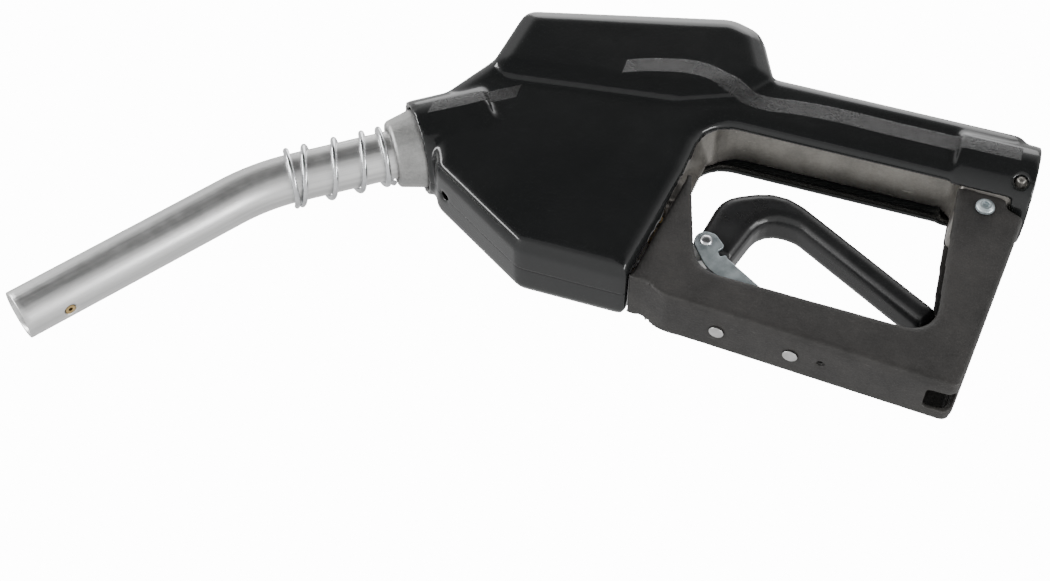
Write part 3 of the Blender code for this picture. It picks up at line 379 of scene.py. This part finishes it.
MATERIALS = {
    "vinyl": vinyl(),
    "guard_plastic": guard_plastic(),
    "lever_plastic": lever_plastic(),
    "rubber": rubber(),
    "cast_aluminium": cast_metal("cast_aluminium", (0.21, 0.2, 0.185), (0.33, 0.315, 0.29), 0.36),
    "bushing": cast_metal("bushing", (0.30, 0.30, 0.295), (0.50, 0.50, 0.49), 0.4),
    "aluminium": plain_metal("aluminium", (0.55, 0.55, 0.54), (0.72, 0.72, 0.71), 0.3),
    "drawn": drawn_metal("drawn", (0.66, 0.66, 0.655), (0.84, 0.84, 0.83), 0.27),
    "steel": plain_metal("steel", (0.62, 0.63, 0.64), (0.78, 0.79, 0.8), 0.14),
    "zinc": plain_metal("zinc", (0.42, 0.48, 0.5), (0.58, 0.64, 0.66), 0.3, 0.9),
    "brass": plain_metal("brass", (0.52, 0.36, 0.15), (0.72, 0.53, 0.26), 0.22),
}


# ---------------------------------------------------------------- pieces


def show(piece, node, material):
    """Gives a piece its material and puts it on the body that carries a CAD node."""
    piece.data.materials.clear()
    piece.data.materials.append(MATERIALS[material])
    bodies = frame["record"]["behaviour"]["bodies"]
    owner = [body for body, nodes in bodies.items() if node in nodes]
    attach(piece, owner[0])


def stand_for(piece, node, material):
    """Shows a piece in place of a CAD node."""
    show(piece, node, material)
    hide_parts(node)


def linked(name, mesh):
    obj = bpy.data.objects.new(name, mesh)
    bpy.context.scene.collection.objects.link(obj)
    return obj


def applied(obj):
    """The object with its modifiers made part of its mesh."""
    bpy.context.view_layer.update()
    graph = bpy.context.evaluated_depsgraph_get()
    mesh = bpy.data.meshes.new_from_object(obj.evaluated_get(graph))
    obj.modifiers.clear()
    obj.data = mesh
    return obj


def welded(node):
    """A copy of a CAD node's mesh with its split corners joined again."""
    copy = bmesh.new()
    copy.from_mesh(frame["nodes"][node].data)
    bmesh.ops.remove_doubles(copy, verts=copy.verts, dist=1e-6)
    mesh = bpy.data.meshes.new(node)
    copy.to_mesh(mesh)
    copy.free()
    return mesh


def softened(node, voxel, rounds):
    """The CAD node's own form as one fine mesh with rounded edges."""
    piece = linked(node + "_formed", welded(node))
    remesh = piece.modifiers.new("even", "REMESH")
    remesh.mode = "VOXEL"
    remesh.voxel_size = voxel * 1.0
    remesh.use_smooth_shade = True
    soften = piece.modifiers.new("soften", "SMOOTH")
    soften.factor = 0.5
    soften.iterations = rounds
    return applied(piece)


def spout_place(distance):
    """A point of the spout's axis and its direction, at a distance out of the nose collar."""
    arc = SPOUT_BEND_R * SPOUT_BEND
    bent = min(max(distance - SPOUT_STRAIGHT, 0), arc) / SPOUT_BEND_R
    start = Vector((-cos(NOSE_TILT), 0, -sin(NOSE_TILT)))
    down = Vector((sin(NOSE_TILT), 0, -cos(NOSE_TILT)))
    heading = start * cos(bent) + down * sin(bent)
    place = NOSE + start * (min(distance, SPOUT_STRAIGHT) + SPOUT_BEND_R * sin(bent))
    place += down * SPOUT_BEND_R * (1 - cos(bent))
    place += heading * max(distance - SPOUT_STRAIGHT - arc, 0)
    return place, heading


def swept(name, rings, closed_ends=False):
    """A mesh through rings of points, with a map named flow: across, along in metres."""
    made = bmesh.new()
    flow = made.loops.layers.uv.new("flow")
    loops = [[made.verts.new(point) for point in ring] for ring in rings]
    count = len(rings[0])
    along = [0.0]
    for before, after in zip(rings, rings[1:]):
        along.append(along[-1] + (after[0] - before[0]).length)
    for i in range(len(loops) - 1):
        for j in range(count):
            k = (j + 1) % count
            face = made.faces.new((loops[i][j], loops[i][k], loops[i + 1][k], loops[i + 1][j]))
            face.smooth = True
            places = ((j, i), (j + 1, i), (j + 1, i + 1), (j, i + 1))
            for loop, (u, v) in zip(face.loops, places):
                loop[flow].uv = (u / count, along[v])
    if closed_ends:
        made.faces.new(loops[0])
        made.faces.new(loops[-1])
    else:
        for j in range(count):
            k = (j + 1) % count
            made.faces.new((loops[-1][j], loops[-1][k], loops[0][k], loops[0][j])).smooth = True
    bmesh.ops.recalc_face_normals(made, faces=made.faces)
    mesh = bpy.data.meshes.new(name)
    made.to_mesh(mesh)
    made.free()
    return linked(name, mesh)


def ring_round(centre, heading, radius, count):
    side = heading.cross(Y_AXIS).normalized()
    points = []
    for i in range(count):
        angle = 2 * pi * i / count
        points.append(centre + (side * cos(angle) + Y_AXIS * sin(angle)) * radius)
    return points


def port_cutter(place, heading):
    """The lathe shape that cuts the sensing port and its countersink."""
    profile = [
        (5 * MM, PORT_R),
        (SPOUT_R - 1.0 * MM, PORT_R),
        (SPOUT_R + 0.6 * MM, PORT_R + COUNTERSINK),
    ]
    rings = []
    for reach, radius in profile:
        rings.append(ring_round(place + heading * reach, heading, radius, PORT_SIDES))
    return swept("port", rings, closed_ends=True)


def cut_away(piece, cutter):
    remove = piece.modifiers.new("cut", "BOOLEAN")
    remove.operation = "DIFFERENCE"
    remove.object = cutter
    remove.solver = "EXACT"
    applied(piece)
    bpy.data.objects.remove(cutter)


def spout_tube():
    inner_r = SPOUT_R - SPOUT_WALL
    steps, reach = SPOUT_STATIONS - 1, SPOUT_LENGTH + SPOUT_INSERTED - TIP_ROUND
    stations = [-SPOUT_INSERTED + reach * i / steps for i in range(SPOUT_STATIONS)]
    profile = [(d, SPOUT_R) for d in stations]
    profile += [(SPOUT_LENGTH - 0.1 * MM, SPOUT_R - 0.1 * MM), (SPOUT_LENGTH, SPOUT_R - TIP_ROUND)]
    profile += [(SPOUT_LENGTH, inner_r + TIP_ROUND), (SPOUT_LENGTH - TIP_ROUND, inner_r)]
    profile += [(d, inner_r) for d in reversed(stations[:-1])]
    rings = [ring_round(*spout_place(d), radius, SPOUT_SIDES) for d, radius in profile]
    tube = swept("spout_tube_drawn", rings)
    port, heading = spout_place(SPOUT_LENGTH - PORT_FROM_TIP)
    down = heading.cross(Y_AXIS).normalized()
    cut_away(tube, port_cutter(port, down))
    stand_for(tube, "spout_tube", "drawn")


def spring_line():
    """Points along the middle of the spring's wire."""
    per_turn, distance, centres = SPRING_STEPS_PER_TURN, SPRING_START, []
    steps = len(SPRING_PITCHES) * per_turn
    for i in range(steps + 1):
        centre, heading = spout_place(distance)
        side = heading.cross(Y_AXIS).normalized()
        angle = 2 * pi * i / per_turn + SPRING_START_ANGLE
        centres.append(centre + (side * cos(angle) + Y_AXIS * sin(angle)) * SPRING_R)
        distance += SPRING_PITCHES[min(i // per_turn, len(SPRING_PITCHES) - 1)] / per_turn
    return centres


def anchor_spring():
    centres = spring_line()
    steps, rings = len(centres) - 1, []
    for i, centre in enumerate(centres):
        ahead = (centres[min(i + 1, steps)] - centres[max(i - 1, 0)]).normalized()
        out = (centre - spout_axis_near(centre)).normalized()
        out = (out - ahead * out.dot(ahead)).normalized()
        other = ahead.cross(out)
        ring = []
        for j in range(SPRING_WIRE_SIDES):
            angle = 2 * pi * j / SPRING_WIRE_SIDES
            ring.append(centre + (out * cos(angle) + other * sin(angle)) * SPRING_WIRE_R)
        rings.append(ring)
    stand_for(swept("anchor_spring_wound", rings, True), "anchor_spring", "steel")


def spout_axis_near(point):
    """The spout's axis point level with a point beside it, near enough for the spring."""
    best = min(range(0, 80), key=lambda d: (spout_place(d * MM)[0] - point).length)
    return spout_place(best * MM)[0]


def inlet_thread():
    """The female thread's crests, as one ridge wound inside the hose inlet."""
    per_turn = THREAD_STEPS_PER_TURN
    steps, rings = per_turn * THREAD_TURNS, []
    root = INLET_BORE_R + THREAD_ROOT_OVERLAP
    for i in range(steps + 1):
        angle = 2 * pi * i / per_turn
        x = THREAD_START - THREAD_PITCH * i / per_turn
        out = Vector((0, cos(angle), sin(angle)))
        fade = min(1.0, i / THREAD_FADE_STEPS, (steps - i) / THREAD_FADE_STEPS)
        crest = INLET_BORE_R - THREAD_DEPTH * fade
        shape = ((-0.8, root), (-0.12, crest), (0.12, crest), (0.8, root))
        rings.append([Vector((x + dx * MM, 0, 0)) + out * radius for dx, radius in shape])
    thread = swept("inlet_thread", rings, True)
    show(thread, "body_casting", "aluminium")


# CAD nodes shown as finer meshes: node, voxel size, rounds of smoothing, material
SOFTENED = [
    ("hand_insulator", 1.0 * MM, 12, "vinyl"),
    ("lever_guard", 0.75 * MM, 7, "guard_plastic"),
    ("lever_grip", 0.55 * MM, 6, "lever_plastic"),
    ("body_casting", 1.0 * MM, 4, "cast_aluminium"),
    ("spout_bushing", 0.4 * MM, 4, "bushing"),
    ("hold_open_latch", 0.22 * MM, 2, "zinc"),
    ("latch_rivet", 0.2 * MM, 4, "steel"),
    ("guard_screw", 0.22 * MM, 3, "zinc"),
    ("rack_rivet_front", 0.2 * MM, 3, "aluminium"),
    ("rack_rivet_rear", 0.2 * MM, 3, "aluminium"),
    ("spout_screw", 0.22 * MM, 3, "steel"),
]


def carried_over():
    """Materials for the CAD nodes that show as they are."""
    for part in frame["record"]["subparts"]:
        node = frame["nodes"][part["node"]]
        if node.hide_render:
            continue
        node.data.materials.clear()
        node.data.materials.append(MATERIALS[part["material_slot"]])


# ---------------------------------------------------------------- studio


def studio():
    """A room that looks white behind the object, and reflects dark from the camera's side."""
    world = bpy.data.worlds.new("studio")
    bpy.context.scene.world = world
    world.use_nodes = True
    tree = world.node_tree
    background = tree.nodes["Background"]
    way = tree.nodes.new("ShaderNodeTexCoord")
    toward = tree.nodes.new("ShaderNodeVectorMath")
    toward.operation = "DOT_PRODUCT"
    tree.links.new(way.outputs["Generated"], toward.inputs[0])
    toward.inputs[1].default_value = DARK_SIDE.normalized()
    shade = tree.nodes.new("ShaderNodeMapRange")
    shade.interpolation_type = "SMOOTHSTEP"
    for key, value in ((1, 0.5), (2, 0.84), (3, 0.9), (4, 0.09)):
        shade.inputs[key].default_value = value
    tree.links.new(toward.outputs["Value"], shade.inputs["Value"])
    seen = tree.nodes.new("ShaderNodeLightPath")
    choose = tree.nodes.new("ShaderNodeMix")
    tree.links.new(seen.outputs["Is Camera Ray"], choose.inputs[0])
    tree.links.new(shade.outputs[0], choose.inputs[2])
    choose.inputs[3].default_value = BACKDROP
    tree.links.new(choose.outputs[0], background.inputs["Strength"])
    background.inputs["Color"].default_value = (1, 1, 1, 1)


def softbox(name, place, width, height, power):
    data = bpy.data.lights.new(name, "AREA")
    data.shape = "RECTANGLE"
    data.size, data.size_y = width, height
    data.energy = power
    lamp = bpy.data.objects.new(name, data)
    bpy.context.scene.collection.objects.link(lamp)
    lamp.location = place
    lamp.rotation_euler = (Vector(AIM) - Vector(place)).to_track_quat("-Z", "Y").to_euler()


def floor():
    turns = ((-1, -1), (1, -1), (1, 1), (-1, 1))
    corners = [(x * FLOOR_HALF_SIZE, y * FLOOR_HALF_SIZE, FLOOR_Z) for x, y in turns]
    mesh = bpy.data.meshes.new("floor")
    mesh.from_pydata(corners, [], [(0, 1, 2, 3)])
    s = Shader("floor")
    s.set(Base_Color=s.mix(s.noise(3, 2), (0.8, 0.8, 0.8), (0.84, 0.84, 0.84)), Roughness=0.7)
    mesh.materials.append(s.material)
    linked("floor", mesh)


def camera():
    data = bpy.data.cameras.new("camera")
    data.sensor_width = CAMERA_SENSOR
    data.lens = CAMERA_LENS
    data.clip_start = 0.01
    view = bpy.data.objects.new("camera", data)
    bpy.context.scene.collection.objects.link(view)
    back = CAMERA_RIGHT.cross(CAMERA_UP)
    turn = Matrix((CAMERA_RIGHT, CAMERA_UP, back)).transposed().to_4x4()
    view.matrix_world = Matrix.Translation(CAMERA_PLACE) @ turn
    bpy.context.scene.camera = view


for name, voxel, rounds, material in SOFTENED:
    stand_for(softened(name, voxel, rounds), name, material)
spout_tube()
anchor_spring()
inlet_thread()
carried_over()
floor()
studio()
for name, place, width, height, power in SOFTBOXES:
    softbox(name, place, width, height, power)
camera()
